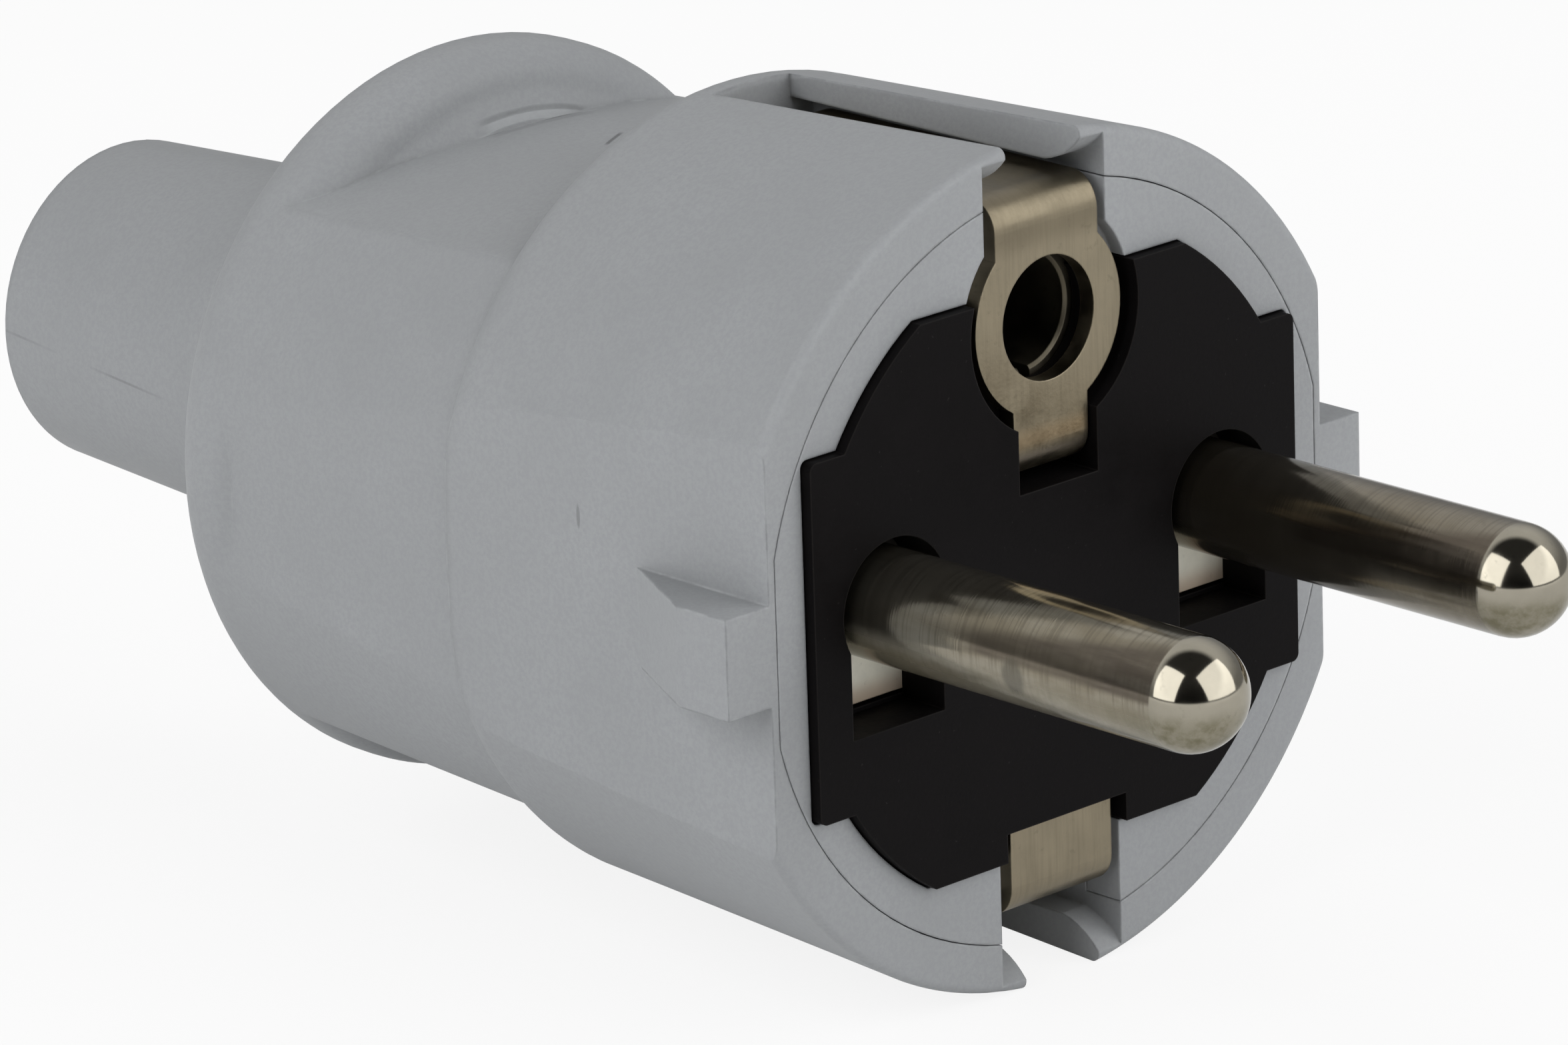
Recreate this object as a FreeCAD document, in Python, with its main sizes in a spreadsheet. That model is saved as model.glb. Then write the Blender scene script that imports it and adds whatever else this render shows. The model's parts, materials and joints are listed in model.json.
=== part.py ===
import FreeCAD, Part
import math
import os
from types import SimpleNamespace

import Sketcher
from FreeCAD import Placement, Rotation, Vector

# Hybrid two-pin plug with side earth strips and an earth pin hole, in millimetres.
# +Z is up, with the earth hole above the pins. The pins point along -Y and the cable sleeve along +Y.
# The origin is the point midway between the pins on the face of the contact insert.

os.makedirs("parts", exist_ok=True)
doc = FreeCAD.newDocument("HybridPlug")

SIZES = {
    # standard pin and earth positions
    "pin_pitch": 19.0,
    "pin_diameter": 4.8,
    "pin_reach": 19.0,
    "earth_rise": 10.0,
    # the housing axis lies a little under the pin line
    "body_drop": 0.6,
    # barrel of the hood, measured from the insert's face
    "rim_setback": 0.5,
    "barrel_front_radius": 18.35,
    "barrel_rear_radius": 17.6,
    "barrel_end": 18.3,
    "barrel_rear_round": 1.8,
    "rim_round": 0.4,
    "flat_half_width": 16.1,
    # finger flats between barrel and collar
    "neck_start": 17.0,
    "neck_front_radius": 17.1,
    "neck_front_half_width": 15.75,
    "neck_front_corner": 12.0,
    "neck_front_crown": 14.0,
    "neck_rear_radius": 16.25,
    "neck_rear_half_width": 15.8,
    "neck_rear_corner": 11.5,
    "neck_rear_crown": 12.8,
    # grip collar, dome and cable sleeve
    "collar_front": 33.5,
    "collar_length": 4.4,
    "collar_radius": 16.25,
    "collar_round": 1.9,
    "flare_foot": 12.3,
    "flare_length": 2.8,
    "flare_radius": 3.2,
    "dome_blend": 3.3,
    "sleeve_root_radius": 8.1,
    "sleeve_end_radius": 7.38,
    "sleeve_end_round": 0.3,
    "hood_end": 59.9,
    # inside of the hood
    "seat_depth": 2.5,
    "ring_radius": 16.2,
    "ring_half_width": 15.7,
    "cavity_radius": 14.3,
    "cavity_taper_start": 19.0,
    "cavity_taper_end": 33.0,
    "cavity_taper_radius": 11.6,
    "cavity_rear": 37.5,
    "cavity_rear_radius": 9.5,
    "cable_bore_start": 42.0,
    "cable_bore_radius": 5.2,
    "fit_gap": 0.05,
    # earth grooves in the hood
    "groove_half_width": 3.5,
    "groove_end": 17.7,
    "groove_foot": 11.0,
    "lip_foot": 16.5,
    "mouth_half_width": 2.15,
    "lip_nose_rise": 17.75,
    "lip_nose_end": 2.6,
    "lip_nose_radius": 3.5,
    # guide ribs on the side flats
    "rib_half_height": 2.15,
    "rib_reach": 2.4,
    "rib_flat_end": 3.4,
    "rib_end": 8.3,
    # outline and chambers of the contact insert
    "insert_radius": 14.35,
    "insert_half_height": 12.12,
    "ear_half_width": 14.05,
    "ear_half_height": 7.7,
    "ear_round": 0.35,
    "insert_gap": 0.08,
    "insert_body_end": 16.4,
    "pin_hole_radius": 2.95,
    "window_half_width": 2.6,
    "window_drop": 5.1,
    "chamber_play": 0.15,
    "chamber_head": 3.8,
    "chamber_floor": 4.9,
    "screw_port_front": 6.6,
    "screw_port_rear": 13.4,
    "screw_port_half_width": 3.0,
    "core_half_width": 4.6,
    "core_top": 2.0,
    "core_bottom": 9.6,
    "core_front": 5.0,
    # earth strap
    "strap_face": 0.4,
    "strap_thickness": 0.8,
    "strap_height": 15.5,
    "strap_half_width": 2.95,
    "strap_bend": 0.6,
    "bend_relief": 0.35,
    "strap_ring_radius": 4.2,
    "strap_hole_radius": 2.65,
    "tail_half_width": 2.15,
    "tail_drop": 3.35,
    "tail_end": 3.6,
    "lower_tip": 11.6,
    "recess_gap": 0.65,
    "slot_gap": 0.13,
    "slot_depth": 4.4,
    # sleeve contact for the earth pin
    "socket_bore_radius": 2.45,
    "socket_radius": 3.1,
    "socket_front": 1.9,
    "socket_depth": 11.8,
    "socket_chamfer": 0.13,
    "socket_slit": 0.6,
    "socket_slit_length": 7.5,
    "earth_bore_radius": 2.8,
    "rivet_radius": 1.4,
    "rivet_head_radius": 2.1,
    "rivet_head_height": 0.6,
    # pins and their clamp blocks
    "spigot_radius": 1.8,
    "spigot_length": 3.2,
    "block_half_width": 3.4,
    "block_top": 3.4,
    "block_bottom": 4.7,
    "block_length": 11.0,
    "wire_hole_radius": 1.7,
    "wire_hole_depth": 6.8,
    "clamp_screw_seat": 3.6,
    "plate_thickness": 0.7,
    "plate_half_width": 1.2,
    "plate_length": 4.0,
    # earth clamp block
    "earth_block_half_width": 3.4,
    "earth_block_top": 1.0,
    "earth_block_bottom": 6.0,
    "earth_block_length": 7.2,
    "earth_wire_rise": 2.3,
    # screws
    "screw_shank_radius": 1.45,
    "screw_head_radius": 2.6,
    "screw_head_height": 1.7,
    "screw_slot_width": 0.8,
    "screw_slot_depth": 0.9,
    "terminal_screw_length": 3.6,
    # inner frame with the cord saddle
    "carrier_radius": 13.3,
    "carrier_plate": 2.0,
    "wire_port_inner": 5.6,
    "wire_port_outer": 11.4,
    "wire_port_half_height": 4.0,
    "saddle_half_width": 8.2,
    "saddle_depth": 7.3,
    "saddle_front": 25.6,
    "saddle_rear": 32.6,
    "floor_thickness": 1.5,
    "trough_radius": 3.4,
    "clamp_height": 4.6,
    "clamp_front": 26.6,
    "clamp_rear": 31.6,
    "clamp_screw_spread": 5.9,
    "clamp_screw_length": 9.6,
    "clamp_rib": 0.5,
    # hood screw on the underside
    "hood_screw_place": 27.4,
    "hood_screw_seat": 13.35,
    "hood_screw_length": 7.4,
    "hood_screw_port_radius": 3.0,
    "boss_radius": 3.0,
    "boss_foot": 11.7,
}


class Size:
    """A length with its number and the sheet expression that gives it."""

    def __init__(self, value, text):
        self.value = value
        self.text = text

    def __add__(self, other):
        other = as_size(other)
        return Size(self.value + other.value, f"({self.text} + {other.text})")

    def __sub__(self, other):
        other = as_size(other)
        return Size(self.value - other.value, f"({self.text} - {other.text})")

    def __mul__(self, other):
        other = as_size(other)
        return Size(self.value * other.value, f"({self.text} * {other.text})")

    def __truediv__(self, other):
        other = as_size(other)
        return Size(self.value / other.value, f"({self.text} / {other.text})")

    def __radd__(self, other):
        return as_size(other) + self

    def __rsub__(self, other):
        return as_size(other) - self

    def __rmul__(self, other):
        return as_size(other) * self

    def __neg__(self):
        return Size(-self.value, f"(-{self.text})")


def as_size(length):
    return length if isinstance(length, Size) else Size(float(length), repr(float(length)))


def root(length):
    return Size(math.sqrt(length.value), f"sqrt({length.text})")


def leg(long_side, short_side):
    """Other leg of a right triangle, such as the height of a circle above a given half-width."""
    return root(long_side * long_side - short_side * short_side)


def fill_sheet(values):
    sheet = doc.addObject("Spreadsheet::Sheet", "Sizes")
    named = {}
    for row, (name, value) in enumerate(values.items(), start=1):
        sheet.set(f"A{row}", name)
        sheet.set(f"B{row}", str(value))
        sheet.setAlias(f"B{row}", name)
        named[name] = Size(value, f"Sizes.{name}")
    doc.recompute()
    return SimpleNamespace(**named)


s = fill_sheet(SIZES)
ZERO = as_size(0)
NODES = {}

# Derived places that several pieces share
HALF_PITCH = s.pin_pitch / 2
PIN_RADIUS = s.pin_diameter / 2
STRAP_BACK = s.strap_face + s.strap_thickness
STRAP_FLOOR = s.strap_height - s.strap_thickness
RECESS_DEPTH = STRAP_BACK + s.fit_gap
BRIDGE_FRONT = s.insert_body_end + s.fit_gap * 2
BRIDGE_BACK = BRIDGE_FRONT + s.strap_thickness
CARRIER_FRONT = BRIDGE_BACK + s.fit_gap * 2
PLATE_LOW = leg(s.wire_hole_radius - s.fit_gap, s.plate_half_width)
EARTH_SCREW_SEAT = s.earth_wire_rise + PLATE_LOW + s.terminal_screw_length
EARTH_AXIS = s.earth_rise + s.body_drop
PIN_AXIS = s.body_drop
SOCKET_SEAT = (ZERO, EARTH_AXIS, s.socket_radius + s.fit_gap * 2)


def bind(thing, prop, length):
    """Give a property its number and tie it to the sheet."""
    length = as_size(length)
    thing.setExpression(prop, length.text)


def new_body(name, x=ZERO, y=ZERO, z=ZERO):
    body = doc.addObject("PartDesign::Body", name)
    body.Label = name
    bind(body, "Placement.Base.x", x)
    bind(body, "Placement.Base.y", y)
    bind(body, "Placement.Base.z", z)
    NODES[name] = body
    return body


def arc_between(start, end, radius, side):
    """Short arc with its centre on the named side of the way from start to end."""
    middle = (start + end) * 0.5
    way = end - start
    reach = math.sqrt(max(radius * radius - way.Length * way.Length / 4, 0))
    across = Vector(-way.y, way.x, 0).normalize()
    centre = middle + across * (reach if side == "left" else -reach)
    first, last = (start, end) if side == "left" else (end, start)
    begin = math.atan2(first.y - centre.y, first.x - centre.x)
    finish = math.atan2(last.y - centre.y, last.x - centre.x)
    if finish < begin:
        finish += 2 * math.pi
    return Part.ArcOfCircle(Part.Circle(centre, Vector(0, 0, 1), radius), begin, finish)


def hold(sketch, kind, index, end, length):
    """Fix one coordinate of a point, or a radius, to a size."""
    length = as_size(length)
    if kind == "Radius":
        row = sketch.addConstraint(Sketcher.Constraint("Radius", index, length.value))
    else:
        row = sketch.addConstraint(Sketcher.Constraint(kind, -1, 1, index, end, length.value))
    sketch.setExpression(f"Constraints[{row}]", length.text)


def draw_loop(sketch, corners):
    """Closed outline. A corner is (x, y), or (x, y, radius, side) where an arc leads to the next corner."""
    first = sketch.GeometryCount
    points = [Vector(as_size(c[0]).value, as_size(c[1]).value, 0) for c in corners]
    starts = []
    for place, corner in enumerate(corners):
        following = points[(place + 1) % len(corners)]
        if len(corner) == 2:
            sketch.addGeometry(Part.LineSegment(points[place], following))
            starts.append((1, 2))
            continue
        radius, side = as_size(corner[2]), corner[3]
        sketch.addGeometry(arc_between(points[place], following, radius.value, side))
        starts.append((1, 2) if side == "left" else (2, 1))
    for place, corner in enumerate(corners):
        after = (place + 1) % len(corners)
        link = Sketcher.Constraint("Coincident", first + place, starts[place][1], first + after, starts[after][0])
        sketch.addConstraint(link)
        hold(sketch, "DistanceX", first + place, starts[place][0], corner[0])
        hold(sketch, "DistanceY", first + place, starts[place][0], corner[1])
        if len(corner) == 4:
            hold(sketch, "Radius", first + place, None, corner[2])


def draw_circle(sketch, x, y, radius):
    x, y, radius = as_size(x), as_size(y), as_size(radius)
    index = sketch.addGeometry(Part.Circle(Vector(x.value, y.value, 0), Vector(0, 0, 1), radius.value))
    hold(sketch, "DistanceX", index, 3, x)
    hold(sketch, "DistanceY", index, 3, y)
    hold(sketch, "Radius", index, None, radius)


def new_sketch(body, name, plane, offset, loops=(), circles=()):
    """Sketch on one of the body's own planes, moved along the world axis that the plane faces."""
    sketch = body.newObject("Sketcher::SketchObject", f"{body.Name}_{name}")
    support = next(item for item in body.Origin.OriginFeatures if item.Role == plane)
    sketch.AttachmentSupport = [(support, "")]
    sketch.MapMode = "FlatFace"
    offset = as_size(offset)
    bind(sketch, "AttachmentOffset.Base.z", -offset if plane == "XZ_Plane" else offset)
    for loop in loops:
        draw_loop(sketch, loop)
    for circle in circles:
        draw_circle(sketch, *circle)
    return sketch


def pad(body, name, plane, start, end, loops=(), circles=()):
    """Add the outline's prism from one place to another along the plane's world axis."""
    start, end = as_size(start), as_size(end)
    sketch = new_sketch(body, f"{name}_outline", plane, start, loops, circles)
    feature = body.newObject("PartDesign::Pad", f"{body.Name}_{name}")
    feature.Profile = sketch
    bind(feature, "Length", end - start)
    feature.Reversed = plane == "XZ_Plane"
    sketch.Visibility = False
    return feature


def pocket(body, name, plane, start, end, loops=(), circles=()):
    """Cut the outline's prism from one place to another along the plane's world axis."""
    doc.recompute()
    before = body.Shape.Volume
    start, end = as_size(start), as_size(end)
    sketch = new_sketch(body, f"{name}_outline", plane, start, loops, circles)
    feature = body.newObject("PartDesign::Pocket", f"{body.Name}_{name}")
    feature.Profile = sketch
    bind(feature, "Length", end - start)
    feature.Reversed = plane != "XZ_Plane"
    sketch.Visibility = False
    doc.recompute()
    if body.Shape.Volume > before - 0.01:
        raise RuntimeError(f"{feature.Name} cuts nothing")
    return feature


def turn(body, name, kind, loop, axis="H_Axis", plane="YZ_Plane"):
    """Revolve an outline round one axis of its sketch, to add or to cut."""
    doc.recompute()
    before = body.Shape.Volume if kind == "Groove" else None
    sketch = new_sketch(body, f"{name}_outline", plane, ZERO, [loop])
    feature = body.newObject(f"PartDesign::{kind}", f"{body.Name}_{name}")
    feature.Profile = sketch
    feature.ReferenceAxis = (sketch, [axis])
    feature.Angle = 360
    sketch.Visibility = False
    doc.recompute()
    if before is not None and body.Shape.Volume > before - 0.01:
        raise RuntimeError(f"{feature.Name} cuts nothing")
    return feature


def loft(body, name, sketches):
    feature = body.newObject("PartDesign::AdditiveLoft", f"{body.Name}_{name}")
    feature.Profile = sketches[0]
    feature.Sections = [(item, [""]) for item in sketches[1:]]
    for item in sketches:
        item.Visibility = False
    return feature


def rectangle(x1, x2, y1, y2):
    return [(x1, y1), (x2, y1), (x2, y2), (x1, y2)]


def both_sides(draw):
    """The same outline on the right and, mirrored, on the left."""
    return [draw(1), draw(-1)]


def side_of(sign, side):
    """Arc side after mirroring."""
    if sign > 0:
        return side
    return "right" if side == "left" else "left"


# Hood
def neck_section(radius, half_width, corner, crown):
    """Circle with a flat on each side and a low crown at the top and at the bottom."""
    side = leg(radius, half_width)
    shoulder = leg(radius, corner)
    drop = crown - shoulder
    arch = (corner * corner + drop * drop) / (2 * drop)
    return [
        (half_width, side, radius, "left"),
        (corner, shoulder, arch, "left"),
        (-corner, shoulder, radius, "left"),
        (-half_width, side),
        (-half_width, -side, radius, "left"),
        (-corner, -shoulder, arch, "left"),
        (corner, -shoulder, radius, "left"),
        (half_width, -side),
    ]


def build_hood():
    hood = new_body("hood", z=-s.body_drop)
    rounded_end = s.barrel_end + s.barrel_rear_round
    turn(hood, "barrel", "Revolution", [
        (s.rim_setback, ZERO),
        (s.rim_setback, s.barrel_front_radius - s.rim_round, s.rim_round, "right"),
        (s.rim_setback + s.rim_round, s.barrel_front_radius),
        (s.barrel_end, s.barrel_rear_radius, s.barrel_rear_round, "right"),
        (rounded_end, s.barrel_rear_radius - s.barrel_rear_round),
        (rounded_end, ZERO),
    ])
    wide = s.barrel_front_radius + 2
    pocket(hood, "side_flats", "XZ_Plane", ZERO, rounded_end + 1, both_sides(
        lambda sign: rectangle(sign * s.flat_half_width, sign * wide, -wide, wide)))
    front = new_sketch(hood, "neck_front", "XZ_Plane", s.neck_start, [neck_section(
        s.neck_front_radius, s.neck_front_half_width, s.neck_front_corner, s.neck_front_crown)])
    rear = new_sketch(hood, "neck_rear", "XZ_Plane", s.collar_front + s.collar_round, [neck_section(
        s.neck_rear_radius, s.neck_rear_half_width, s.neck_rear_corner, s.neck_rear_crown)])
    loft(hood, "neck", [front, rear])
    add_rear(hood)
    cut_cavity(hood)
    cut_grooves(hood)
    add_ribs(hood)
    cut_screw_port(hood)


def add_rear(hood):
    """Hollow flare, grip collar, a cone at 45 degrees, a blend and the cable sleeve, turned in one profile."""
    slant = math.sqrt(0.5)
    collar_rear = s.collar_front + s.collar_length
    cone_start = (collar_rear - s.collar_round * (1 - slant), s.collar_radius - s.collar_round * (1 - slant))
    blend_foot = s.sleeve_root_radius + s.dome_blend * (1 - slant)
    cone_end = cone_start[0] + cone_start[1] - blend_foot
    turn(hood, "rear", "Revolution", [
        (s.collar_front - s.flare_length, ZERO),
        (s.collar_front - s.flare_length, s.flare_foot, s.flare_radius, "left"),
        (s.collar_front, s.collar_radius - s.collar_round, s.collar_round, "right"),
        (s.collar_front + s.collar_round, s.collar_radius),
        (collar_rear - s.collar_round, s.collar_radius, s.collar_round, "right"),
        cone_start,
        (cone_end, blend_foot, s.dome_blend, "left"),
        (cone_end + s.dome_blend * slant, s.sleeve_root_radius),
        (s.hood_end - s.sleeve_end_round, s.sleeve_end_radius, s.sleeve_end_round, "right"),
        (s.hood_end, s.sleeve_end_radius - s.sleeve_end_round),
        (s.hood_end, ZERO),
    ])


def cut_cavity(hood):
    """Seat for the ring and insert, then the tapering wiring space and the cable bore."""
    pocket(hood, "ring_seat", "XZ_Plane", ZERO, s.seat_depth, [ring_outline(s.fit_gap)])
    turn(hood, "cavity", "Groove", [
        (ZERO, ZERO),
        (ZERO, s.cavity_radius),
        (s.cavity_taper_start, s.cavity_radius),
        (s.cavity_taper_end, s.cavity_taper_radius),
        (s.cavity_rear, s.cavity_rear_radius),
        (s.cable_bore_start, s.cable_bore_radius),
        (s.hood_end + 1, s.cable_bore_radius),
        (s.hood_end + 1, ZERO),
    ])


def ring_outline(grow):
    """Circle with a flat on each side."""
    radius, side = s.ring_radius + grow, s.ring_half_width + grow
    side_z = leg(radius, side)
    return [
        (side, -side_z),
        (side, side_z, radius, "left"),
        (-side, side_z),
        (-side, -side_z, radius, "left"),
    ]


def groove_outline(sign):
    """Undercut groove with a lip on each side over the earth strip."""
    foot, out = sign * s.groove_foot, sign * (s.barrel_front_radius + 2)
    lip = sign * s.lip_foot
    return [
        (-s.groove_half_width, foot),
        (s.groove_half_width, foot),
        (s.groove_half_width, lip),
        (s.mouth_half_width, lip),
        (s.mouth_half_width, out),
        (-s.mouth_half_width, out),
        (-s.mouth_half_width, lip),
        (-s.groove_half_width, lip),
    ]


def lip_nose_outline(sign):
    """Side view of the space under the lips' front ends, which round up towards the rim."""
    foot = sign * s.groove_foot
    return [
        (ZERO, foot),
        (ZERO, sign * s.lip_nose_rise),
        (s.rim_setback, sign * s.lip_nose_rise, s.lip_nose_radius, side_of(sign, "left")),
        (s.lip_nose_end, sign * s.lip_foot),
        (s.lip_nose_end, foot),
    ]


def cut_grooves(hood):
    half = s.groove_half_width
    pocket(hood, "earth_grooves", "XZ_Plane", ZERO, s.groove_end, both_sides(groove_outline))
    pocket(hood, "lip_noses", "YZ_Plane", -half, half, both_sides(lip_nose_outline))


def add_ribs(hood):
    root_x = s.flat_half_width
    tip_x = s.flat_half_width + s.rib_reach

    def rib(sign):
        return [
            (sign * root_x, s.rim_setback),
            (sign * tip_x, s.rim_setback),
            (sign * tip_x, s.rib_flat_end),
            (sign * root_x, s.rib_end),
        ]

    pad(hood, "guide_ribs", "XY_Plane", -s.rib_half_height, s.rib_half_height, both_sides(rib))


def cut_screw_port(hood):
    """Round port on the underside with a seat for the screw head."""
    reach = s.barrel_front_radius + 2
    place = (ZERO, s.hood_screw_place)
    pocket(hood, "screw_port", "XY_Plane", -reach, -s.hood_screw_seat,
           circles=[(*place, s.hood_screw_port_radius)])
    pocket(hood, "screw_hole", "XY_Plane", -s.hood_screw_seat - 1, -s.boss_foot,
           circles=[(*place, s.screw_shank_radius + s.fit_gap * 3)])


# Contact insert and the ring around it
def insert_outline(grow):
    """Round outline with a flat top and bottom and a square ear on each side."""
    radius = s.insert_radius + grow
    height = s.insert_half_height + grow
    ear_x = s.ear_half_width + grow
    ear_z = s.ear_half_height + grow
    curve = s.ear_round
    flat_x = leg(radius, height)
    step_x = leg(radius, ear_z)
    return [
        (flat_x, height),
        (-flat_x, height, radius, "left"),
        (-step_x, ear_z),
        (curve - ear_x, ear_z, curve, "left"),
        (-ear_x, ear_z - curve),
        (-ear_x, curve - ear_z, curve, "left"),
        (curve - ear_x, -ear_z),
        (-step_x, -ear_z, radius, "left"),
        (-flat_x, -height),
        (flat_x, -height, radius, "left"),
        (step_x, -ear_z),
        (ear_x - curve, -ear_z, curve, "left"),
        (ear_x, curve - ear_z),
        (ear_x, ear_z - curve, curve, "left"),
        (ear_x - curve, ear_z),
        (step_x, ear_z, radius, "left"),
    ]


def strap_recesses():
    """Channel outlines above the top and below the bottom of the insert for the strap's flat ends."""
    out = s.barrel_front_radius
    inner_top = EARTH_AXIS
    inner_bottom = -(s.lower_tip - s.slot_gap) + PIN_AXIS
    half = s.groove_half_width
    return [
        rectangle(-half, half, inner_top, out),
        rectangle(-half, half, -out, inner_bottom),
    ]


def build_front_ring():
    ring = new_body("front_ring", z=-s.body_drop)
    pad(ring, "plate", "XZ_Plane", s.rim_setback, s.seat_depth, [ring_outline(ZERO)])
    pocket(ring, "opening", "XZ_Plane", ZERO, s.seat_depth + 1, [insert_outline(s.insert_gap)])
    half, out = s.groove_half_width, s.barrel_front_radius
    pocket(ring, "strap_recess", "XZ_Plane", ZERO, RECESS_DEPTH, [
        rectangle(-half, half, s.groove_foot, out),
        rectangle(-half, half, -out, -s.groove_foot),
    ])
    pocket(ring, "round_recess", "XZ_Plane", ZERO, RECESS_DEPTH,
           circles=[(ZERO, EARTH_AXIS, s.strap_ring_radius + s.recess_gap)])
    pocket(ring, "socket_port", "XZ_Plane", ZERO, s.seat_depth + 1, circles=[SOCKET_SEAT])
    pocket(ring, "strip_seats", "YZ_Plane", -half, half, [ring_strip_seat(1), ring_strip_seat(-1)])


def ring_strip_seat(sign):
    """Side view of the space over the web that carries the strap, with its corner cut for the strap's bend."""
    floor = sign * (STRAP_FLOOR - s.fit_gap) + PIN_AXIS
    low = floor - sign * s.bend_relief
    out = sign * s.barrel_front_radius
    return [
        (ZERO, low),
        (RECESS_DEPTH, low),
        (RECESS_DEPTH + s.bend_relief, floor),
        (s.seat_depth + 1, floor),
        (s.seat_depth + 1, out),
        (ZERO, out),
    ]


def block_strip_seat(sign):
    """Side view of the space over the pad that carries the strip, with its rear corner cut for the bend."""
    floor = sign * (STRAP_FLOOR - s.fit_gap) + PIN_AXIS
    low = floor - sign * s.bend_relief
    out = sign * s.barrel_front_radius
    return [
        (ZERO, floor),
        (s.insert_body_end - s.bend_relief, floor),
        (s.insert_body_end, low),
        (s.insert_body_end + 1, low),
        (s.insert_body_end + 1, out),
        (ZERO, out),
    ]


def build_contact_insert():
    insert = new_body("contact_insert", z=-s.body_drop)
    pad(insert, "plate", "XZ_Plane", ZERO, s.seat_depth, [insert_outline(ZERO)])
    cut_pin_openings(insert)
    cut_earth_recess(insert)


def build_terminal_block():
    """Round block behind the insert that holds the terminals, the earth sleeve and the strap's flat ends."""
    block = new_body("terminal_block", z=-s.body_drop)
    pad(block, "core", "XZ_Plane", s.seat_depth, s.insert_body_end,
        circles=[(ZERO, ZERO, s.cavity_radius - s.fit_gap * 2)])
    half = s.groove_half_width - s.fit_gap * 4
    floor = STRAP_FLOOR - s.fit_gap
    pad(block, "strip_pads", "XZ_Plane", s.seat_depth, s.insert_body_end, [
        rectangle(-half, half, s.groove_foot, floor + PIN_AXIS),
        rectangle(-half, half, -floor + PIN_AXIS, -s.groove_foot),
    ])
    pocket(block, "strip_seats", "YZ_Plane", -half, half, [block_strip_seat(1), block_strip_seat(-1)])
    pocket(block, "tail_slot", "XZ_Plane", ZERO, s.slot_depth, [tail_slot()])
    pocket(block, "socket_seat", "XZ_Plane", ZERO, s.insert_body_end + 1, circles=[SOCKET_SEAT])
    cut_chambers(block)


def cut_pin_openings(insert):
    """Clearance holes for the pins, each with a square window under it."""
    pocket(insert, "pin_holes", "XZ_Plane", ZERO, s.seat_depth + 1, circles=[
        (HALF_PITCH, PIN_AXIS, s.pin_hole_radius),
        (-HALF_PITCH, PIN_AXIS, s.pin_hole_radius),
    ])
    pocket(insert, "windows", "XZ_Plane", ZERO, s.seat_depth + 1, both_sides(lambda sign: rectangle(
        sign * HALF_PITCH - s.window_half_width, sign * HALF_PITCH + s.window_half_width,
        PIN_AXIS - s.window_drop, PIN_AXIS)))


def tail_slot():
    """Outline of the slot that the strap's tail bends into."""
    half = s.tail_half_width + s.slot_gap
    low = PIN_AXIS + s.tail_drop - s.slot_gap * 3
    return rectangle(-half, half, low, PIN_AXIS + s.tail_drop + s.strap_thickness + s.strap_bend)


def cut_earth_recess(insert):
    """Recess for the strap's ring, slot for its tail, notch for its lower end and the bore behind the ring."""
    depth = RECESS_DEPTH
    pocket(insert, "ring_recess", "XZ_Plane", ZERO, depth,
           circles=[(ZERO, EARTH_AXIS, s.strap_ring_radius + s.recess_gap)])
    pocket(insert, "strap_channels", "XZ_Plane", ZERO, depth, strap_recesses())
    slot_half = s.tail_half_width + s.slot_gap
    slot_low = PIN_AXIS + s.tail_drop - s.slot_gap * 3
    pocket(insert, "tail_recess", "XZ_Plane", ZERO, depth,
           [rectangle(-slot_half, slot_half, slot_low, EARTH_AXIS)])
    through = s.seat_depth + 1
    pocket(insert, "tail_slot", "XZ_Plane", ZERO, through, [tail_slot()])
    pocket(insert, "earth_bore", "XZ_Plane", ZERO, through, circles=[(ZERO, EARTH_AXIS, s.earth_bore_radius)])
    pocket(insert, "socket_seat", "XZ_Plane", s.socket_front - s.fit_gap * 2, through, circles=[SOCKET_SEAT])


def cut_chambers(block):
    """Terminal chambers open to the rear, ports for their screws and a hollow in the middle."""
    half = s.block_half_width + s.chamber_play
    rear = s.insert_body_end + 1
    pocket(block, "chambers", "XZ_Plane", s.seat_depth, rear, both_sides(lambda sign: rectangle(
        sign * HALF_PITCH - half, sign * HALF_PITCH + half,
        PIN_AXIS - s.chamber_floor, PIN_AXIS + s.chamber_head)))
    port = s.screw_port_half_width
    pocket(block, "screw_ports", "XY_Plane", -s.cavity_radius, PIN_AXIS - s.chamber_floor + 1, both_sides(
        lambda sign: rectangle(sign * HALF_PITCH - port, sign * HALF_PITCH + port,
                               s.screw_port_front, s.screw_port_rear)))
    pocket(block, "core_hollow", "XZ_Plane", s.core_front, rear, [rectangle(
        -s.core_half_width, s.core_half_width, PIN_AXIS - s.core_bottom, PIN_AXIS + s.core_top)])


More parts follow.
